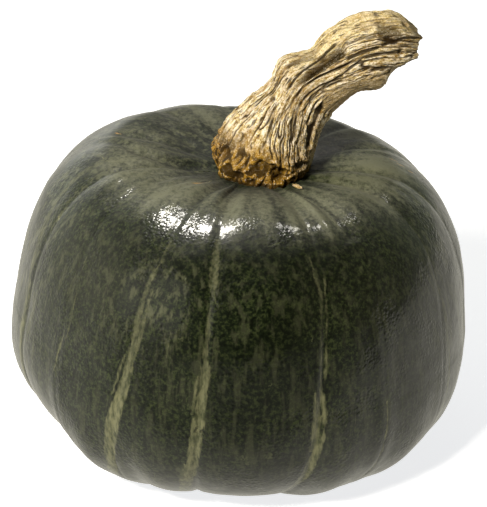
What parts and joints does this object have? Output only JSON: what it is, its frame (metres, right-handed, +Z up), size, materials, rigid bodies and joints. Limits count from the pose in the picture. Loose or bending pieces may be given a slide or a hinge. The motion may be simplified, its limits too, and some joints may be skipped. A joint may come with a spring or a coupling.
{
  "type": "kabocha squash",
  "caption": "Squat dark green winter squash with faint ribs, pale broken stripes and a thick, dry, corky stem leaning to one side.",
  "frame": {"origin": "centre of the object's plan on the surface that it rests on", "axes": "+Z up; -Y towards the side with the clearest stripes; the stem leans towards +X"},
  "size_m": [0.1808, 0.1834, 0.1717],
  "materials": {
    "rind": "hard waxy rind, fine pebbled grain, satin gloss on the shoulders, pale grey-green broken stripes in the grooves",
    "cork": "dry corky stem, matte straw tan with deep lengthwise cracks"
  },
  "bodies": {
    "root": {"fruit": "rind", "stem": "cork"}
  },
  "joints": []
}
